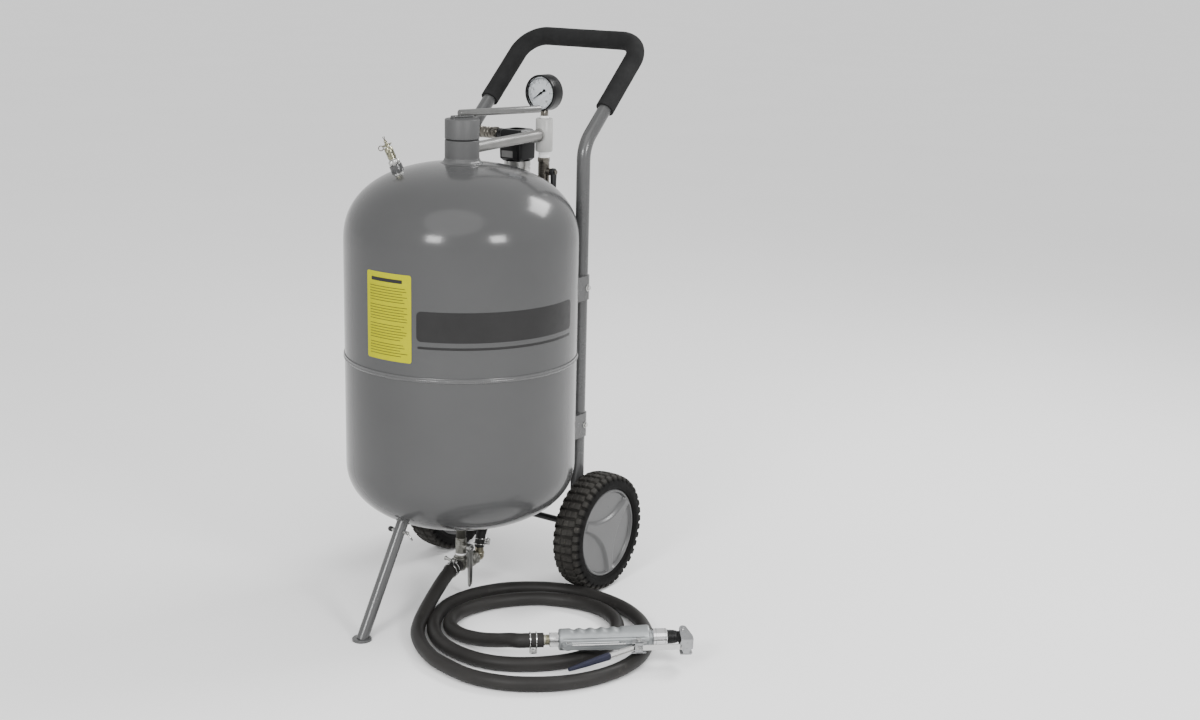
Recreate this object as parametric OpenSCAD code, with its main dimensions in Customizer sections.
// Portable pressure-pot abrasive blaster: a steel tank on a two-wheel hand truck with a front leg,
// an air manifold with gauge and water separator, a sand valve with mixing tee, and a blast hose
// that ends in a dead-man blast gun.
// Frame: +Z is the tank's axis, the floor is z = 0, the front leg points to -Y, the handle to +Y.

/* [Tank] */
// Outer radius of the tank
tank_r = 200; // [195:1:205]
// Wall thickness of the shells
wall = 3; // [2.5:0.5:4]
// Height of the girth seam above the floor
seam_z = 446; // [430:1:460]
// Height where the lower head meets the straight wall
low_tan_z = 258.3; // [250:0.1:265]
// Depth of the lower head
low_depth = 112.5; // [108:0.5:116]
// Height where the upper head meets the straight wall
top_tan_z = 641.6; // [636:0.1:646]
// Depth of the upper head
top_depth = 134.4; // [130:0.1:138]

/* [Filler neck and cap] */
// Outer radius of the filler neck
neck_r = 29.2; // [28.8:0.1:29.6]
// Bore radius of the filler neck
neck_bore_r = 25; // [24.8:0.1:25.2]
// Height of the neck's rim
neck_top_z = 813.5; // [811:0.1:816]
// Height of the cap above the neck's rim
cap_h = 33; // [28:1:36]
// Length of the cap's turning bar
bar_l = 166; // [150:1:178]
// Direction of the turning bar
bar_angle = 72.5; // [60:0.5:85]

/* [Air manifold] */
// Distance of the manifold sleeve behind the tank's axis
sleeve_y = 231.6; // [229:0.1:234]
// Outer radius of the sleeve
sleeve_r = 15.5; // [14:0.5:16]
// Height of the sleeve's middle
sleeve_z = 803; // [801:0.5:805]
// Radius of the gauge case
gauge_r = 32; // [30:0.5:33]
// Direction of the gauge needle at rest, seen from the front
needle_angle = 214; // [210:1:230]

/* [Hand truck] */
// Radius of the frame tube
tube_r = 12; // [11:0.25:12.5]
// Half the distance between the uprights
tube_x = 127.75; // [126:0.25:129]
// Distance of the uprights behind the tank's axis
tube_y = 174; // [173.5:0.5:176]
// Height where the handle leans back
lean_z = 800; // [795:1:805]
// Lean of the handle above the horizontal
lean_angle = 43.5; // [41:0.5:46]
// Length of the leaning part up to the cross bar
lean_l = 245; // [235:1:250]
// Radius of the foam grip
grip_r = 16.5; // [15.5:0.5:18]

/* [Wheels] */
// Radius of the tyre
wheel_r = 106.85; // [104:0.05:108]
// Width of the tyre
wheel_w = 55; // [50:1:56]
// Middle of each wheel from the tank's axis
wheel_x = 170.5; // [170:0.5:173]
// Distance of the axle behind the tank's axis
axle_y = 181.3; // [179:0.1:183]
// Radius of the axle
axle_r = 6; // [5.5:0.1:6.5]

/* [Front leg] */
// Distance of the foot in front of the tank's axis
foot_y = 260.3; // [255:0.1:265]
// Radius of the leg tube
leg_r = 10; // [9:0.5:11]
// Lean of the leg from the vertical
leg_angle = 30.2; // [29.5:0.1:31]

/* [Blast gun] */
// Where the gun's axis starts, at the end of the blast hose
gun_pos = [290, -171, 46];
// Direction of the gun on the floor
gun_yaw = 41.3; // [38:0.1:44]
// Roll of the gun about its own axis
gun_roll = 8; // [7:0.5:9]
// How far the lever stands open
lever_angle = 28; // [26:1:30]

/* [Hidden] */

$fn = 64;
fine = 32;
running = 0.05;         // radial clearance of a shaft in its bore
head_power = 2.32;      // squareness of the domed heads
head_steps = 16;

// ---- Functions -------------------------------------------------------------------------------

// One point of a domed head: t runs from 0 at the straight wall to 90 at the axis
function head_point(r, depth, t) =
  [r * pow(cos(t), 2 / head_power), depth * pow(sin(t), 2 / head_power)];
function head_curve(r, depth) =
  [for (i = [0 : head_steps - 1]) head_point(r, depth, 90 * i / head_steps)];
// Height of the upper head's outer face above its tangent line, at a distance from the axis
function head_rise(x, r, depth) = depth * pow(1 - pow(x / r, head_power), 1 / head_power);
function unit(v) = v / norm(v);
// Direction of a route at point i
function heading(route, i) =
  unit(route[min(i + 1, len(route) - 1)] - route[max(i - 1, 0)]);
// A ring of points round a route's point; ref is never parallel to the route
function hose_ring(p, d, ref, r, sides) =
  let (u = unit(cross(ref, d)), v = cross(d, u))
  [for (k = [0 : sides - 1]) p + r * (cos(360 * k / sides) * u + sin(360 * k / sides) * v)];

// ---- Shared shapes ---------------------------------------------------------------------------

module pipe(r_out, r_in, h) {
  difference() {
    cylinder(r = r_out, h = h);
    translate([0, 0, -1]) cylinder(r = r_in, h = h + 2);
  }
}

module hex(across, h) {
  cylinder(r = across / sqrt(3), h = h, $fn = 6);
}

// A ring of round section
module torus(r_mid, r_wire) {
  rotate_extrude() translate([r_mid, 0]) circle(r = r_wire, $fn = fine);
}

// A hose swept along its route as one closed tube
module hose(route, ref, r, sides) {
  n = len(route);
  points = [for (i = [0 : n - 1]) each hose_ring(route[i], heading(route, i), ref, r, sides)];
  walls = [for (i = [0 : n - 2], k = [0 : sides - 1])
    let (a = i * sides, b = (i + 1) * sides, next = (k + 1) % sides)
    [a + k, a + next, b + next, b + k]];
  start_face = [for (k = [sides - 1 : -1 : 0]) k];
  end_face = [for (k = [0 : sides - 1]) (n - 1) * sides + k];
  polyhedron(points = points, faces = concat(walls, [start_face, end_face]), convexity = 10);
}

// A worm-screw hose clamp round the Z axis, with two bands and a screw across the top
module hose_clamp(r_in) {
  band = 1;
  band_h = 3.4;
  band_gap = 5;
  for (z = [-band_gap - band_h / 2, band_gap - band_h / 2])
    translate([0, 0, z]) pipe(r_in + band, r_in, band_h);
  difference() {
    translate([r_in + band / 2, -3, -8]) cube([6, 6, 16]);
    translate([0, 0, -10]) cylinder(r = r_in + band / 2, h = 20);
  }
  translate([r_in + 4, 3, 0]) rotate([-90, 0, 0]) cylinder(r = 3.4, h = 7);
}

// ---- Tank ------------------------------------------------------------------------------------

module lower_profile(r, depth) {
  head = head_curve(r, depth);
  polygon(concat([[0, seam_z], [r, seam_z]],
    [for (p = head) [p[0], low_tan_z - p[1]]], [[0, low_tan_z - depth]]));
}

module upper_profile(r, depth) {
  head = head_curve(r, depth);
  polygon(concat([[0, seam_z], [r, seam_z]],
    [for (p = head) [p[0], top_tan_z + p[1]]], [[0, top_tan_z + depth]]));
}

// The whole tank's outer half section, to trim what is welded on it
module tank_profile() {
  upper_profile(tank_r, top_depth);
  lower_profile(tank_r, low_depth);
}

outlet_bore_r = 9;

module lower_shell() {
  color("dimgray") difference() {
    rotate_extrude() difference() {
      lower_profile(tank_r, low_depth);
      lower_profile(tank_r - wall, low_depth - wall);
    }
    cylinder(r = outlet_bore_r, h = low_tan_z);
  }
}

module upper_shell() {
  color("dimgray") difference() {
    rotate_extrude() difference() {
      upper_profile(tank_r, top_depth);
      upper_profile(tank_r - wall, top_depth - wall);
    }
    translate([0, 0, top_tan_z]) cylinder(r = neck_r, h = top_depth + 10);
    safety_frame() translate([0, 0, -30]) cylinder(r = 6, h = 60);
  }
}

weld_h = 9;

module girth_weld() {
  color("dimgray") translate([0, 0, seam_z]) rotate_extrude() polygon([
    [tank_r, -weld_h / 2], [tank_r + 1.6, -weld_h / 2 + 1.6], [tank_r + 2.1, 0],
    [tank_r + 1.6, weld_h / 2 - 1.6], [tank_r, weld_h / 2]]);
}

neck_root_z = top_tan_z + head_rise(neck_r, tank_r, top_depth);
side_port_z = 797.5;
side_port_r = 8.5;

module fill_neck() {
  color("dimgray") difference() {
    union() {
      translate([0, 0, neck_root_z - 8]) pipe(neck_r, neck_bore_r, neck_top_z - neck_root_z + 8);
      // weld fillet round the root
      translate([0, 0, neck_root_z]) rotate_extrude() polygon([
        [neck_r - 1, 0.4], [neck_r + 6, 0.4], [neck_r + 3, 3], [neck_r, 8], [neck_r - 1, 8]]);
    }
    translate([0, 0, side_port_z]) rotate([-90, 0, 0]) cylinder(r = 6, h = neck_r + 5);
  }
}

// ---- Filler cap ------------------------------------------------------------------------------

oring_wire = 1.1;
cap_z = neck_top_z + 2 * oring_wire + 0.1;
spigot_l = 20;

module neck_oring() {
  color("black") translate([0, 0, neck_top_z + oring_wire + 0.05]) torus(27.2, oring_wire);
}

bar_r = 6.2;
bar_seat = 4.5;
bar_sunk = 1.5;         // how far the bar is welded into its saddle
bar_back = 6;

// The screw cap with its turning bar welded across the top
module filler_cap() {
  chamfer = 1.5;
  color("dimgray") {
    cap_bar();
    translate([0, 0, cap_z]) cylinder(r = neck_r, h = cap_h - chamfer);
    translate([0, 0, cap_z + cap_h - chamfer])
      cylinder(r1 = neck_r, r2 = neck_r - chamfer, h = chamfer);
    translate([0, 0, cap_z - spigot_l]) cylinder(r = neck_bore_r - 0.5, h = spigot_l + 1);
    // saddle under the turning bar
    rotate([0, 0, bar_angle]) translate([-20, -6, cap_z + cap_h - 1])
      cube([40, 12, bar_seat + 1]);
  }
}

module cap_bar() {
  end_round = 1;
  translate([0, 0, cap_z + cap_h + bar_seat + bar_r - bar_sunk]) rotate([0, 0, bar_angle])
    translate([-bar_back, 0, 0]) rotate([0, 90, 0]) {
      cylinder(r1 = bar_r - end_round, r2 = bar_r, h = end_round);
      translate([0, 0, end_round]) cylinder(r = bar_r, h = bar_l - 2 * end_round);
      translate([0, 0, bar_l - end_round]) cylinder(r1 = bar_r, r2 = bar_r - end_round, h = end_round);
    }
}

// ---- Safety valve ----------------------------------------------------------------------------

safety_dist = 109;
safety_azimuth = 214.5;
safety_lean = 23;

// Local frame on the dome: +Z is the dome's normal at the safety valve
module safety_frame() {
  rise = head_rise(safety_dist, tank_r, top_depth);
  rotate([0, 0, safety_azimuth]) translate([safety_dist, 0, top_tan_z + rise])
    rotate([0, safety_lean, 0]) children();
}

bung_top = 9;
stub_r = leg_r - 1.6;

// Welded on the tank: the safety valve's boss, the outlet flange and the front leg's stub
module tank_bosses() {
  color("dimgray") difference() {
    union() {
      safety_frame() translate([0, 0, -8]) pipe(11, 6, bung_top + 8);
      translate([0, 0, tank_low_z - 9]) pipe(20, outlet_bore_r, 14);
      difference() {
        leg_frame() translate([0, 0, leg_pin_l - 14]) cylinder(r = stub_r, h = 90);
        leg_frame() translate([0, 0, leg_pin_l]) rotate([0, 90, 0])
          cylinder(r = leg_pin_r, h = 60, center = true);
      }
    }
    rotate_extrude() tank_profile();
  }
}

module safety_body() {
  color("silver") safety_frame() difference() {
    union() {
      translate([0, 0, bung_top]) hex(17, 8);
      translate([0, 0, bung_top + 8]) cylinder(r = 6.5, h = 6);
      translate([0, 0, bung_top + 14]) cylinder(r = 7.5, h = 14);
      translate([0, 0, bung_top + 28]) cylinder(r1 = 7.5, r2 = 6, h = 4);
      translate([0, 0, bung_top - 8]) cylinder(r = 5.8, h = 8);
    }
    translate([0, 0, bung_top - 9]) cylinder(r = 3, h = 50);
    translate([0, 0, bung_top + 10]) cylinder(r = 5, h = 16);
    // relief ports round the bonnet
    for (a = [0 : 60 : 120]) rotate([0, 0, a]) translate([0, 0, bung_top + 21]) rotate([90, 0, 0])
      cylinder(r = 1.5, h = 20, center = true);
  }
}

module safety_spring() {
  turns = 5;
  color("lightgray") safety_frame() for (i = [0 : turns - 1])
    translate([0, 0, bung_top + 12.5 + 2.7 * i]) torus(4, 0.6);
}

module safety_stem() {
  stem_top = bung_top + 42;
  color("silver") safety_frame() {
    translate([0, 0, bung_top + 12]) cylinder(r = 2.3, h = stem_top - bung_top - 12);
    translate([0, 0, bung_top + 33.5]) cylinder(r = 6.5, h = 3);
    // cross lug, with the pull ring at its outer end, and the legs of the split pin on top
    translate([-9, -1.6, stem_top - 6.6]) cube([18, 3.2, 1.6]);
    translate([11.5, 0, stem_top - 8]) rotate([90, 0, 0]) torus(4, 0.9);
    translate([0, 0, stem_top]) sphere(r = 2.8);
    for (side = [-1, 1]) translate([0, 0, stem_top]) rotate([0, 10 * side, 0]) cylinder(r = 0.7, h = 9);
  }
}

// ---- Air manifold ----------------------------------------------------------------------------

sleeve_h = 60;
pipe_r = 9.5;
sleeve_port_z = 804;

module manifold_pipe() {
  pipe_rise = atan2(sleeve_port_z - side_port_z, sleeve_y);
  color("lightgray") difference() {
    translate([0, 0, side_port_z]) rotate([pipe_rise - 90, 0, 0]) pipe(pipe_r, 6.5, sleeve_y);
    translate([0, 0, 700]) cylinder(r = neck_r, h = 200);
    translate([0, sleeve_y, 700]) cylinder(r = sleeve_r, h = 200);
  }
}

module manifold_sleeve() {
  chamfer = 2;
  port_l = 36;
  color("lightgray") difference() {
    union() {
      translate([0, sleeve_y, sleeve_z - sleeve_h / 2]) {
        cylinder(r1 = sleeve_r - chamfer, r2 = sleeve_r, h = chamfer);
        translate([0, 0, chamfer]) cylinder(r = sleeve_r, h = sleeve_h - 2 * chamfer);
        translate([0, 0, sleeve_h - chamfer])
          cylinder(r1 = sleeve_r, r2 = sleeve_r - chamfer, h = chamfer);
      }
      // side branch to the water separator
      translate([0, sleeve_y, separator_z]) rotate([0, -90, 0]) cylinder(r = 10, h = port_l);
    }
    translate([0, sleeve_y, sleeve_z - sleeve_h / 2 + 12]) cylinder(r = 7, h = sleeve_h - 24);
    translate([0, sleeve_y, separator_z]) rotate([0, -90, 0]) cylinder(r = 6, h = port_l + 1);
    translate([0, 0, side_port_z + 5.5]) rotate([-90, 0, 0]) cylinder(r = 6, h = sleeve_y);
  }
}

gauge_z = 878;
gauge_front_y = 215;
gauge_back_y = 244.5;

module gauge_stem() {
  sleeve_top = sleeve_z + sleeve_h / 2;
  color("gray") difference() {
    translate([0, sleeve_y, 0]) {
      translate([0, 0, sleeve_top]) cylinder(r = 8.5, h = 4);
      translate([0, 0, sleeve_top + 4]) hex(13, 11);
      translate([0, 0, sleeve_top + 15]) cylinder(r = 5, h = 3);
    }
    translate([0, 0, gauge_z]) rotate([-90, 0, 0]) cylinder(r = gauge_r, h = 300);
  }
}

module gauge_case() {
  rim = 3;
  color("black") difference() {
    translate([0, gauge_front_y, gauge_z]) rotate([-90, 0, 0])
      cylinder(r = gauge_r, h = gauge_back_y - gauge_front_y);
    translate([0, gauge_front_y - 1, gauge_z]) rotate([-90, 0, 0])
      cylinder(r = gauge_r - rim, h = 10);
  }
}

dial_y = gauge_front_y + 7;

module gauge_dial() {
  color("white") difference() {
    translate([0, dial_y, gauge_z]) rotate([-90, 0, 0]) cylinder(r = gauge_r - 3, h = 2);
    translate([0, dial_y - 1, gauge_z]) rotate([-90, 0, 0]) cylinder(r = 1.05, h = 5);
  }
}

module gauge_lens() {
  color("white", 0.3) translate([0, gauge_front_y + 0.8, gauge_z]) rotate([-90, 0, 0])
    cylinder(r = gauge_r - 3, h = 1.6);
}

module gauge_needle() {
  reach = 20.5;
  tail = 8.5;
  needle_y = dial_y - 1.6;
  color("black") translate([0, needle_y, gauge_z]) rotate([90, 0, 0]) {
    rotate([0, 0, needle_angle]) linear_extrude(0.6)
      polygon([[-tail, -1], [reach, -0.35], [reach, 0.35], [-tail, 1]]);
    rotate([0, 0, needle_angle]) translate([-tail, 0, 0]) cylinder(r = 2.2, h = 0.6);
    translate([0, 0, -2.8]) cylinder(r = 1, h = 2.8);
    cylinder(r = 2, h = 1);
  }
}

separator_x = -60;
separator_z = 797;
separator_w = 48;
separator_top = 809;
separator_low = 752;

module separator_head() {
  bevel = 4;
  depth = 50;
  cap_low = separator_low + bevel;
  color("black") difference() {
    union() {
      translate([separator_x - separator_w / 2, sleeve_y - depth / 2, cap_low])
        cube([separator_w, depth, separator_top - cap_low]);
      translate([separator_x - separator_w / 2 + bevel, sleeve_y - depth / 2 + bevel, separator_low])
        cube([separator_w - 2 * bevel, depth - 2 * bevel, bevel]);
      translate([separator_x - separator_w / 2, sleeve_y, separator_z]) rotate([0, -90, 0])
        cylinder(r = 10, h = 18);
    }
    translate([-35, sleeve_y, separator_z]) rotate([0, -90, 0]) cylinder(r = 6, h = 70);
  }
}

bowl_r = 24;
bowl_h = 62;

module separator_bowl() {
  color("silver") translate([separator_x, sleeve_y, separator_low - bowl_h]) {
    difference() {
      union() {
        translate([0, 0, 8]) cylinder(r = bowl_r, h = bowl_h - 8);
        cylinder(r1 = bowl_r - 6, r2 = bowl_r, h = 8);
      }
      translate([0, 0, 8]) cylinder(r = bowl_r - 2.5, h = bowl_h);
    }
    // drain cock
    translate([0, 0, -10]) cylinder(r = 4, h = 10);
    translate([0, 0, -14]) cylinder(r = 6.5, h = 4);
  }
}

inlet_x = -102;
inlet_thread_r = 5.7;
inlet_thread_l = 14;

module inlet_fitting() {
  color("silver") translate([inlet_x, sleeve_y, separator_z]) rotate([0, -90, 0]) difference() {
    union() {
      hex(20, 13);
      translate([0, 0, 13]) cylinder(r = 10.5, h = 22);
      translate([0, 0, 35]) cylinder(r = 9, h = 4);
      translate([0, 0, 39]) cylinder(r = 10.8, h = 9);
    }
    translate([0, 0, -1]) cylinder(r = 4, h = 50);
    translate([0, 0, 48 - inlet_thread_l]) cylinder(r = inlet_thread_r, h = inlet_thread_l + 1);
  }
}

// ---- Throttle valve --------------------------------------------------------------------------

throttle_z = 738;
throttle_low = 704;
lever_hub_x = 19;

module throttle_body() {
  top = sleeve_z - sleeve_h / 2;
  color("silver") translate([0, sleeve_y, 0]) difference() {
    union() {
      translate([0, 0, top - 10]) cylinder(r = 10, h = 10);
      translate([0, 0, top - 18]) hex(21, 8);
      translate([0, 0, throttle_low + 14]) cylinder(r = 10.5, h = top - 18 - throttle_low - 14);
      translate([0, 0, throttle_low + 6]) hex(21, 8);
      translate([0, 0, throttle_low]) cylinder(r = 7, h = 6);
      translate([0, 0, throttle_z]) rotate([0, 90, 0]) cylinder(r = 6.5, h = 16);
    }
    translate([0, 0, throttle_low - 1]) cylinder(r = 4.5, h = top - throttle_low + 2);
    translate([0, 0, throttle_z]) sphere(r = 8.3);
    translate([0, 0, throttle_z]) rotate([0, 90, 0]) cylinder(r = 2.5 + running, h = 20);
  }
}

module throttle_ball() {
  color("silver") translate([0, sleeve_y, throttle_z]) difference() {
    union() {
      sphere(r = 8);
      rotate([0, 90, 0]) cylinder(r = 2.5, h = lever_hub_x);
    }
    cylinder(r = 4.5, h = 20, center = true);
  }
}

module throttle_lever() {
  reach = 36;
  color("black") translate([lever_hub_x, sleeve_y, throttle_z]) {
    rotate([0, 90, 0]) cylinder(r = 7, h = 6);
    translate([2, -4, -reach]) cube([4, 8, reach]);
    translate([4, 0, -reach]) rotate([0, 90, 0]) cylinder(r = 5, h = 5, center = true);
  }
}

// ---- Air hose --------------------------------------------------------------------------------

air_hose_r = 9;
// The air hose runs from the throttle valve down the back of the tank to the mixing tee
AIR_ROUTE = [
  [0, 231.6, 704], [0, 231.6, 670], [0, 231.6, 620], [0, 231.6, 570], [0, 231.6, 520],
  [0, 231.6, 470], [0, 231.6, 420], [0, 231.6, 370], [0, 231, 320], [0, 227, 275],
  [0, 217, 235], [0, 198, 198], [0, 170, 170], [0, 135, 151], [0, 100, 137],
  [0, 72, 118], [0, 57, 96], [0, 52, 74]
];

module air_hose() {
  color([0.08, 0.08, 0.08]) hose(AIR_ROUTE, [1, 0, 0], air_hose_r, 12);
}

// ---- Outlet, sand valve and mixing tee -------------------------------------------------------

tank_low_z = low_tan_z - low_depth;
sand_valve_z = 91;
sand_valve_top = 106;
sand_valve_low = 71;
sand_hub_x = 17;

module outlet_nipple() {
  color([0.3, 0.3, 0.28]) translate([0, 0, sand_valve_top])
    pipe(outlet_bore_r, 6.5, tank_low_z - sand_valve_top + wall);
}

module sand_valve_body() {
  ridge = 0.8;
  color([0.45, 0.43, 0.4]) difference() {
    union() {
      translate([0, 0, sand_valve_low]) cylinder(r = 9, h = sand_valve_top - sand_valve_low);
      for (z = [0 : 4]) translate([0, 0, sand_valve_top - 4 - 3.4 * z])
        cylinder(r = 9 + ridge, h = 1.8);
      translate([0, 0, sand_valve_low]) cylinder(r = 11, h = 4);
      translate([0, 0, sand_valve_z]) rotate([0, 90, 0]) cylinder(r = 6.5, h = sand_hub_x - 2);
    }
    translate([0, 0, sand_valve_low - 1]) cylinder(r = 4.5, h = 60);
    translate([0, 0, sand_valve_z]) sphere(r = 7.8);
    translate([0, 0, sand_valve_z]) rotate([0, 90, 0]) cylinder(r = 2.5 + running, h = 20);
  }
}

module sand_valve_ball() {
  color("silver") translate([0, 0, sand_valve_z]) difference() {
    union() {
      sphere(r = 7.5);
      rotate([0, 90, 0]) cylinder(r = 2.5, h = sand_hub_x);
    }
    cylinder(r = 4.5, h = 20, center = true);
  }
}

module sand_valve_lever() {
  reach = 74;
  color([0.62, 0.62, 0.6]) translate([sand_hub_x, 0, sand_valve_z]) {
    rotate([0, 90, 0]) cylinder(r = 7.5, h = 7);
    translate([1.5, 0, 0]) rotate([0, 90, 0]) linear_extrude(5)
      polygon([[0, -6.5], [reach - 6, -3.6], [reach, -2.4], [reach, 2.4], [reach - 6, 3.6], [0, 6.5]]);
  }
}

tee_z = 57;
tee_front_y = -8;
tee_back_y = 40;

module mixing_tee() {
  color([0.55, 0.53, 0.5]) difference() {
    union() {
      translate([0, 0, tee_z]) rotate([-90, 0, 0]) {
        translate([0, 0, tee_front_y + 6]) cylinder(r = 13, h = tee_back_y - tee_front_y - 12);
        translate([0, 0, tee_back_y - 10]) rotate([0, 0, 30]) hex(24, 10);
        translate([0, 0, tee_front_y]) cylinder(r = 10.5, h = 8);
      }
      translate([0, 0, tee_z]) cylinder(r = 12.5, h = sand_valve_low - tee_z);
    }
    translate([0, tee_front_y - 1, tee_z]) rotate([-90, 0, 0]) cylinder(r = 6, h = 60);
    translate([0, 0, tee_z]) cylinder(r = 5, h = 30);
  }
}

module tee_elbow() {
  color([0.6, 0.58, 0.5]) difference() {
    union() {
      translate([0, tee_back_y, tee_z]) rotate([-90, 0, 0]) cylinder(r = 8, h = 12);
      translate([0, 52, tee_z]) sphere(r = 9);
      translate([0, 52, tee_z]) cylinder(r = 8, h = 17);
    }
    translate([0, tee_back_y - 1, tee_z]) rotate([-90, 0, 0]) cylinder(r = 4, h = 12);
    translate([0, 52, tee_z]) cylinder(r = 4, h = 20);
  }
}

// ---- Blast hose ------------------------------------------------------------------------------

blast_hose_r = 12;
lying = 12.3;           // height of the hose's middle where it lies on the floor
// The blast hose drops to the floor, makes two loops and rises over itself to the gun
BLAST_ROUTE = [
  [0, -8, 57], [2, -28, 55], [9, -54, 50], [19, -84, 43], [30, -116, 34], [42, -148, 25],
  [56, -178, 18], [77, -208, 14], [107, -234, lying], [140, -255, lying], [176, -270, lying],
  [245, -281, lying], [303, -269, lying], [351, -240, lying], [390, -199, lying], [416, -145, lying],
  [424, -84, lying], [411, -25, lying], [380, 28, lying], [336, 71, lying], [282, 99, lying],
  [218, 110, lying], [160, 103, lying], [110, 78, lying], [66, 36, lying], [40, -20, lying],
  [36, -78, lying], [53, -130, lying], [82, -172, lying], [119, -203, lying], [163, -221, lying],
  [216, -225, lying], [262, -212, lying], [305, -181, lying], [340, -135, lying], [355, -80, lying],
  [346, -22, lying], [320, 28, lying], [286, 57, lying], [243, 71, lying], [193, 65, lying],
  [142, 41, lying], [102, -2, lying], [80, -46, lying], [73, -90, lying], [83, -128, lying],
  [106, -154, lying], [140, -166, 13], [180, -170, 18], [218, -175, 28], [252, -182, 40],
  [272, -184, 45], [290, -171, 46], [302.5, -160, 46]
];

module blast_hose() {
  color([0.1, 0.1, 0.1]) hose(BLAST_ROUTE, [0, 0, 1], blast_hose_r, 12);
}

// Worm-screw clamps at both ends of the air hose and of the blast hose
module hose_clamps() {
  color("silver") {
    translate([0, sleeve_y, 688]) rotate([0, 0, 30]) hose_clamp(air_hose_r + 0.2);
    translate([0, 54, 84]) rotate([-13, 0, 0]) rotate([0, 0, -60]) hose_clamp(air_hose_r + 0.6);
    translate([3, -30, 54.8]) rotate([95, 0, 12]) rotate([0, 0, 75]) hose_clamp(blast_hose_r + 0.6);
    gun_frame() rotate([0, 90, 0]) rotate([0, 0, -25]) hose_clamp(blast_hose_r + 0.6);
  }
}

// ---- Blast gun -------------------------------------------------------------------------------

// Local frame of the gun: +X runs from the hose to the nozzle, the lever is on the -Y side
module gun_frame() {
  translate(gun_pos) rotate([0, 0, gun_yaw]) rotate([gun_roll, 0, 0]) children();
}

hose_end = 16.7;
nut_start = 26;
body_start = 41.5;
body_end = 188.4;
ferrule_start = 193.3;
nozzle_start = 218;
nozzle_end = 234.5;
gun_bore_r = 6;
pivot = [168.8, -24];
flange_low = -26;

module gun_inlet() {
  color([0.75, 0.7, 0.5]) gun_frame() rotate([0, 90, 0]) difference() {
    union() {
      translate([0, 0, hose_end]) cylinder(r = 9, h = 3);
      translate([0, 0, hose_end + 3]) cylinder(r = 7.5, h = nut_start - hose_end - 3);
      translate([0, 0, nut_start]) hex(23, body_start - nut_start);
    }
    translate([0, 0, hose_end - 1]) cylinder(r = gun_bore_r - 1, h = 40);
  }
}

// One half of the cast body; side is 1 for the upper half and -1 for the lower half
module gun_half(side) {
  length = body_end - body_start;
  start_r = 17.5;
  end_r = 20.5;
  depth = 30;
  color([0.6, 0.62, 0.63]) gun_frame() difference() {
    union() {
      translate([body_start, 0, 0]) rotate([0, 90, 0]) cylinder(r1 = start_r, r2 = end_r, h = length);
      translate([body_start + 4, flange_low, -5]) cube([118, 14, 10]);
      // lug for the lever's pivot
      translate([pivot[0] - 5, flange_low - 2, -4]) cube([10, 14, 8]);
    }
    // the other half of the body
    translate([0, -50, side > 0 ? -depth : 0]) cube([300, 100, depth]);
    translate([body_start - 1, 0, 0]) rotate([0, 90, 0]) cylinder(r = gun_bore_r + 5, h = length + 2);
    translate([pivot[0], pivot[1], -10]) cylinder(r = 2 + running, h = 20);
    for (x = SCREW_X) translate([x, SCREW_Y, -10]) cylinder(r = 1.8, h = 20);
    for (x = SCREW_X) translate([x, SCREW_Y, 4]) cylinder(r = 3.6, h = 20);
  }
}

SCREW_X = [55, 144];
SCREW_Y = -20.5;

module gun_half_upper() {
  gun_half(1);
}

module gun_half_lower() {
  gun_half(-1);
}

module gun_screws() {
  color("darkgray") gun_frame() for (x = SCREW_X) translate([x, SCREW_Y, 0]) {
    translate([0, 0, -5]) cylinder(r = 1.75, h = 9);
    translate([0, 0, 4]) cylinder(r = 3.4, h = 2.2);
  }
}

module gun_tube() {
  color("lightgray") gun_frame() rotate([0, 90, 0]) translate([0, 0, body_start])
    pipe(gun_bore_r + 5, gun_bore_r, ferrule_start - body_start);
}

module gun_ferrule() {
  length = nozzle_start - ferrule_start;
  color("silver") gun_frame() rotate([0, 90, 0]) translate([0, 0, ferrule_start]) difference() {
    union() {
      cylinder(r1 = 13, r2 = 14.5, h = 2);
      translate([0, 0, 2]) cylinder(r = 14.5, h = length - 3);
      translate([0, 0, length - 1]) cylinder(r1 = 14.5, r2 = 13.5, h = 1);
    }
    translate([0, 0, -1]) cylinder(r = gun_bore_r, h = 40);
  }
}

module gun_nozzle() {
  color([0.12, 0.12, 0.12]) gun_frame() rotate([0, 90, 0]) translate([0, 0, nozzle_start])
    difference() {
      union() {
        cylinder(r = 12, h = 6);
        translate([0, 0, 6]) cylinder(r1 = 12, r2 = 10.5, h = nozzle_end - nozzle_start - 6);
      }
      translate([0, 0, -1]) cylinder(r = 2.5, h = 30);
      translate([0, 0, -0.01]) cylinder(r1 = 6, r2 = 2.5, h = 10);
    }
}

// The lever's own frame: its origin is the pivot
module lever_frame() {
  gun_frame() translate([pivot[0], pivot[1], 0]) children();
}

rear_l = 134;
sleeve_start = 58;
front_l = 88;
lever_t = 4;
ear_z = 8;

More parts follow.
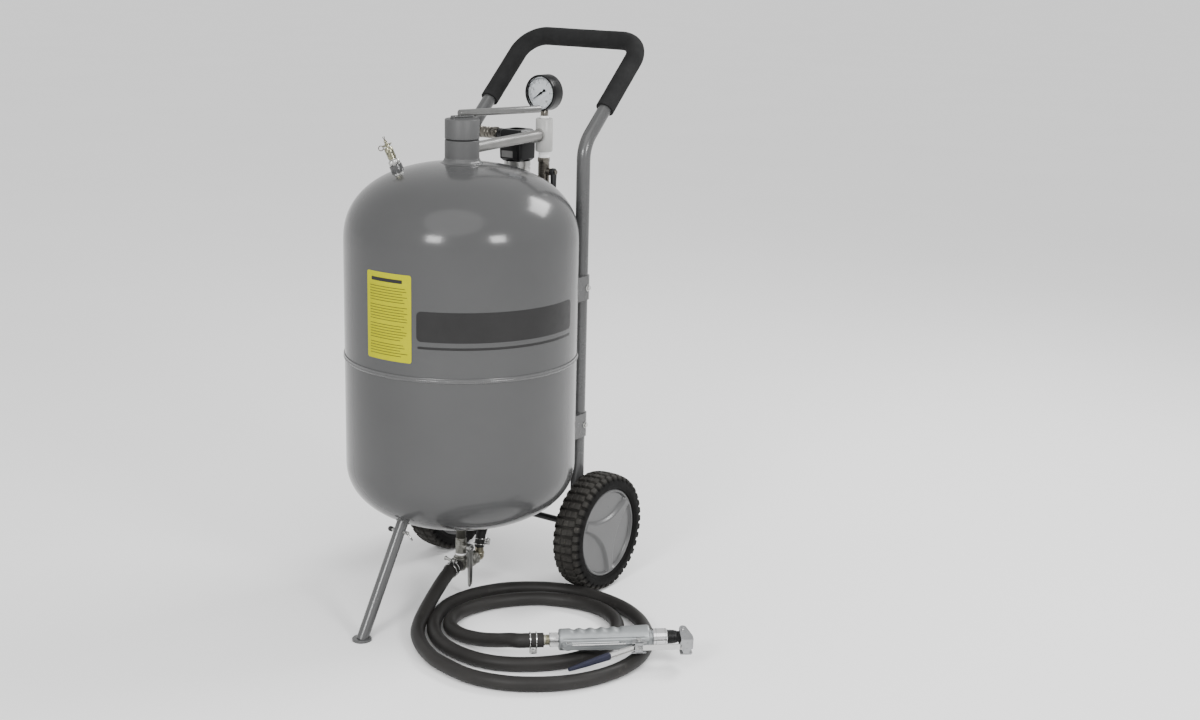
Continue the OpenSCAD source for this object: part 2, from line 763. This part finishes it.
module gun_lever() {
  web = 10;
  plate = 2;
  plate_z = 13;
  plate_start = 68;
  color([0.7, 0.7, 0.68]) lever_frame() difference() {
    union() {
      // arms under the hand and along the gun
      rotate([0, 0, 180 + lever_angle]) translate([4, 0, -web / 2]) cube([rear_l - 4, lever_t, web]);
      translate([0, -4 - lever_t, -web / 2]) cube([front_l, lever_t, web]);
      // ears on the pivot pin
      for (z = [-ear_z - plate, ear_z]) translate([0, 0, z]) {
        cylinder(r = 5.1, h = plate);
        translate([-5.1, -8, 0]) cube([10.2, 8, plate]);
      }
      translate([-7, -8, -ear_z - plate]) cube([14, 4, 2 * (ear_z + plate)]);
      // fork round the nozzle's mouth
      for (z = [-plate_z - plate, plate_z]) translate([plate_start, -8, z])
        cube([front_l - plate_start, 44, plate]);
      translate([plate_start, -8, -plate_z - plate])
        cube([front_l - plate_start, 4, 2 * (plate_z + plate)]);
    }
    cylinder(r = 2 + running, h = 60, center = true);
    // room for the body's lug
    translate([-12, -6.5, -ear_z]) cube([24, 20, 2 * ear_z]);
  }
}

module gun_lever_sleeve() {
  color([0.1, 0.11, 0.2]) lever_frame() rotate([0, 0, 180 + lever_angle]) difference() {
    translate([sleeve_start, lever_t / 2 - 4.5, -6]) cube([rear_l + 3 - sleeve_start, 9, 12]);
    translate([sleeve_start - 1, 0, -5]) cube([rear_l - sleeve_start + 1, lever_t, 10]);
  }
}

module gun_pivot_pin() {
  head = 1.6;
  color("silver") lever_frame() {
    translate([0, 0, -ear_z - 2]) cylinder(r = 2, h = 2 * ear_z + 4);
    for (z = [-ear_z - 2 - head - 0.3, ear_z + 2.3]) translate([0, 0, z]) cylinder(r = 3.6, h = head);
    for (z = [-ear_z - 2.4, ear_z + 1.9]) translate([0, 0, z]) cylinder(r = 2, h = 0.5);
  }
}

module gun_spring() {
  color("silver") lever_frame() for (z = [5.2, 6.9]) translate([0, 0, z]) torus(3.6, 0.7);
}

module gun_stopper() {
  seat = nozzle_end - pivot[0] + 0.5;
  color([0.15, 0.15, 0.15]) lever_frame() {
    translate([seat, -pivot[1], 0]) rotate([0, 90, 0]) cylinder(r = 9, h = 4);
    translate([seat + 4, -pivot[1] - 8, -13]) cube([9, 16, 26]);
    translate([seat + 8.5, -pivot[1] - 4, -17]) cylinder(r = 2.5, h = 34);
  }
}

// ---- Hand truck frame ------------------------------------------------------------------------

tube_bore_r = 10.3;
tube_low_z = 115;        // the uprights end just above the axle
lean_bend_r = 60;
corner_r = 45;
lean_tangent = lean_bend_r * tan((90 - lean_angle) / 2);
weld_gap = 0.04;        // hairline at the butt weld between the uprights and the handle
grip_start = 97;

// Local frame of the leaning part: +X across, +Y up along the lean, origin at the kink
module lean_frame() {
  translate([0, tube_y, lean_z]) rotate([lean_angle, 0, 0]) children();
}

// The leaning U from a given height up: two sides, two corners and the cross bar
module lean_bow(start, r_out, r_in) {
  lean_frame() {
    for (s = [-1, 1]) translate([s * tube_x, start, 0]) rotate([-90, 0, 0])
      pipe(r_out, r_in, lean_l - corner_r - start);
    translate([tube_x - corner_r, lean_l - corner_r, 0]) bend(corner_r, r_out, r_in, 90);
    translate([-tube_x + corner_r, lean_l - corner_r, 0]) rotate([0, 0, 90])
      bend(corner_r, r_out, r_in, 90);
    translate([-tube_x + corner_r, lean_l, 0]) rotate([0, 90, 0])
      pipe(r_out, r_in, 2 * (tube_x - corner_r));
  }
}

module bend(r_mid, r_out, r_in, angle) {
  rotate_extrude(angle = angle) translate([r_mid, 0]) difference() {
    circle(r = r_out);
    circle(r = r_in);
  }
}

module frame_tube() {
  color("dimgray") {
    for (s = [-1, 1]) {
      translate([s * tube_x, tube_y, tube_low_z])
        pipe(tube_r, tube_bore_r, lean_z - lean_tangent - tube_low_z);
      translate([s * tube_x, tube_y + lean_bend_r, lean_z - lean_tangent]) rotate([90, 0, -90])
        bend(lean_bend_r, tube_r, tube_bore_r, 90 - lean_angle);
    }
    lean_bow(lean_tangent + weld_gap, tube_r, tube_bore_r);
  }
}

module foam_grip() {
  color([0.12, 0.12, 0.12]) lean_bow(grip_start, grip_r, tube_r);
}

BRACKET_Z = [302, 552];
bracket_h = 43;
bracket_r = 14.6;

module frame_brackets() {
  color("dimgray") for (s = [-1, 1], z = BRACKET_Z) difference() {
    translate([s * tube_x, 0, z - bracket_h / 2]) {
      translate([0, tube_y, 0]) cylinder(r = bracket_r, h = bracket_h);
      translate([-bracket_r, 138, 0]) cube([2 * bracket_r, tube_y - 138, bracket_h]);
    }
    translate([s * tube_x, tube_y, 0]) cylinder(r = tube_r, h = 1000);
    cylinder(r = tank_r, h = 1000);
    translate([s * tube_x, tube_y, z]) rotate([0, 90, 0]) cylinder(r = 3.2, h = 60, center = true);
  }
}

module bracket_bolts() {
  color("silver") for (s = [-1, 1], z = BRACKET_Z) translate([s * tube_x, tube_y, z])
    rotate([0, 90 * s, 0]) translate([0, 0, bracket_r]) {
      cylinder(r = 6, h = 1.2);
      translate([0, 0, 1.2]) cylinder(r = 4.2, h = 3);
      translate([0, 0, -2.4]) cylinder(r = 3, h = 2.4);
    }
}

// ---- Axle and wheels -------------------------------------------------------------------------

bracket_plate = 4;
axle_end = 187.5;       // distance of the axle's ends from the tank's axis

module axle_brackets() {
  inner = tube_x - tube_r - bracket_plate;
  color("dimgray") for (s = [-1, 1]) difference() {
    translate([s > 0 ? inner : -inner - bracket_plate, 0, wheel_r]) {
      translate([0, axle_y - 17, 0]) cube([bracket_plate, 34, 50]);
      translate([0, axle_y, 0]) rotate([0, 90, 0]) cylinder(r = 17, h = bracket_plate);
    }
    axle_bore();
  }
}

module axle_bore() {
  translate([0, axle_y, wheel_r]) rotate([0, 90, 0]) cylinder(r = axle_r, h = 400, center = true);
}

module axle() {
  color([0.15, 0.15, 0.15]) translate([0, axle_y, wheel_r]) rotate([0, 90, 0])
    cylinder(r = axle_r, h = 2 * axle_end, center = true);
}

module axle_retainers() {
  color("silver") translate([0, axle_y, wheel_r]) rotate([0, 90, 0]) for (s = [-1, 1]) {
    // a washer inside each wheel, and a push nut on the axle's end
    translate([0, 0, s * 141 - 0.6]) pipe(11, axle_r, 1.2);
    translate([0, 0, s * (axle_end - 1.5) - 1.5]) pipe(9, axle_r, 3);
  }
}

rim_r = 78;
rim_w = 44;
hub_r = 17;
cover_x = 196;           // outer face of the hub cover

// A wheel's parts are drawn at the right side, about the axle, with +X outwards
module wheel_frame(side) {
  translate([0, axle_y, wheel_r]) mirror([side > 0 ? 0 : 1, 0, 0]) children();
}

module tyre(side) {
  half = wheel_w / 2;
  shoulder = 9;
  color([0.1, 0.1, 0.1]) wheel_frame(side) translate([wheel_x, 0, 0]) rotate([0, 90, 0])
    rotate_extrude() polygon([
      [rim_r, -half + 5], [rim_r + 6, -half], [wheel_r - shoulder, -half],
      [wheel_r - 2.5, -half + 4], [wheel_r, -half + shoulder], [wheel_r, half - shoulder],
      [wheel_r - 2.5, half - 4], [wheel_r - shoulder, half], [rim_r + 6, half],
      [rim_r, half - 5]]);
}

module rim(side) {
  half = rim_w / 2;
  web_x = 8;
  ribs = 6;
  color("gray") wheel_frame(side) translate([wheel_x, 0, 0]) rotate([0, 90, 0]) difference() {
    union() {
      translate([0, 0, -half]) pipe(rim_r, rim_r - 5, rim_w - 6);
      translate([0, 0, -4]) cylinder(r = rim_r - 3, h = web_x);
      translate([0, 0, -wheel_w / 2 + 1]) cylinder(r = hub_r, h = wheel_w / 2 + 12);
      for (i = [0 : ribs - 1]) rotate([0, 0, 360 * i / ribs])
        translate([hub_r - 2, -2, -half + 4]) cube([rim_r - hub_r - 1, 4, half]);
    }
    translate([0, 0, -60]) cylinder(r = axle_r + running, h = 120);
  }
}

// Directions of the raised star's arms
ARM_ANGLES = [7, 127, 247];
cover_t = 3;

function polar(r, a) = [r * cos(a), r * sin(a)];
// The star: each arm narrows to its tip, with a flat-bottomed hollow between two arms
function star_points() =
  [for (a = ARM_ANGLES) each [polar(52, a - 17), polar(73, a - 6), polar(73, a + 6),
    polar(52, a + 17), polar(33, a + 38), polar(33, a + 82)]];

// The snap-on cover has a raised three-armed star, and a skirt inside the rim
module hub_cover(side) {
  skirt = 6;
  star_h = 4;
  color("gray") wheel_frame(side) rotate([0, 90, 0]) {
    translate([0, 0, cover_x - cover_t - star_h]) cylinder(r = rim_r - 1, h = cover_t);
    translate([0, 0, cover_x - star_h - 1]) linear_extrude(star_h + 1) polygon(star_points());
    translate([0, 0, cover_x - cover_t - star_h - skirt]) pipe(rim_r - 5, rim_r - 8, skirt + 1);
  }
}

module tyre_right() {
  tyre(1);
}

module rim_right() {
  rim(1);
}

module hub_cover_right() {
  hub_cover(1);
}

module tyre_left() {
  tyre(-1);
}

module rim_left() {
  rim(-1);
}

module hub_cover_left() {
  hub_cover(-1);
}

// ---- Front leg -------------------------------------------------------------------------------

foot_r = 16.5;
foot_h = 4;
leg_l = 250;
leg_bore_r = leg_r - 1.5;
leg_pin_r = 3;
leg_pin_l = 191;        // distance of the cross pin up the leg
pin_reach = 20;

// The leg's own frame: origin at the middle of the foot, +Z up along the leg
module leg_frame() {
  translate([0, -foot_y, 0]) rotate([-leg_angle, 0, 0]) children();
}

module leg_tube() {
  color("dimgray") difference() {
    leg_frame() difference() {
      cylinder(r = leg_r, h = leg_l);
      translate([0, 0, 14]) cylinder(r = leg_bore_r, h = leg_l);
      translate([0, 0, leg_pin_l]) rotate([0, 90, 0])
        cylinder(r = leg_pin_r, h = 4 * leg_r, center = true);
    }
    rotate_extrude() lower_profile(tank_r + 1, low_depth + 1);
    translate([-50, -foot_y - 60, foot_h - 100]) cube([100, 120, 100]);
  }
}

module leg_foot() {
  chamfer = 1;
  color("dimgray") translate([0, -foot_y, 0]) {
    cylinder(r = foot_r, h = foot_h - chamfer);
    translate([0, 0, foot_h - chamfer]) cylinder(r1 = foot_r, r2 = foot_r - chamfer, h = chamfer);
  }
}

// The cross pin that holds the leg on its stub, with a ball head and a ring clip
module leg_pin() {
  ring_r = 8;
  ring_wire = 1.1;
  wire_r = 0.8;
  clip_x = pin_reach - 4;
  color("gray") leg_frame() translate([0, 0, leg_pin_l]) {
    rotate([0, 90, 0]) translate([0, 0, -pin_reach]) cylinder(r = leg_pin_r, h = 2 * pin_reach);
    translate([-pin_reach, 0, 0]) sphere(r = 4.6);
    translate([clip_x, -6, 0]) rotate([-90, 0, 0]) cylinder(r = wire_r, h = 12);
    translate([clip_x, 6 + ring_r, 0]) rotate([0, 90, 0]) torus(ring_r, ring_wire);
  }
}

lower_shell();
upper_shell();
girth_weld();
fill_neck();
filler_cap();
neck_oring();
tank_bosses();
safety_body();
safety_spring();
safety_stem();
manifold_pipe();
manifold_sleeve();
gauge_stem();
gauge_case();
gauge_dial();
gauge_lens();
gauge_needle();
separator_head();
separator_bowl();
inlet_fitting();
throttle_body();
throttle_ball();
throttle_lever();
air_hose();
hose_clamps();
outlet_nipple();
sand_valve_body();
sand_valve_ball();
sand_valve_lever();
mixing_tee();
tee_elbow();
blast_hose();
gun_inlet();
gun_half_upper();
gun_half_lower();
gun_screws();
gun_tube();
gun_ferrule();
gun_nozzle();
gun_lever();
gun_lever_sleeve();
gun_pivot_pin();
gun_spring();
gun_stopper();
frame_tube();
foam_grip();
frame_brackets();
bracket_bolts();
axle_brackets();
axle();
axle_retainers();
tyre_right();
rim_right();
hub_cover_right();
tyre_left();
rim_left();
hub_cover_left();
leg_tube();
leg_foot();
leg_pin();
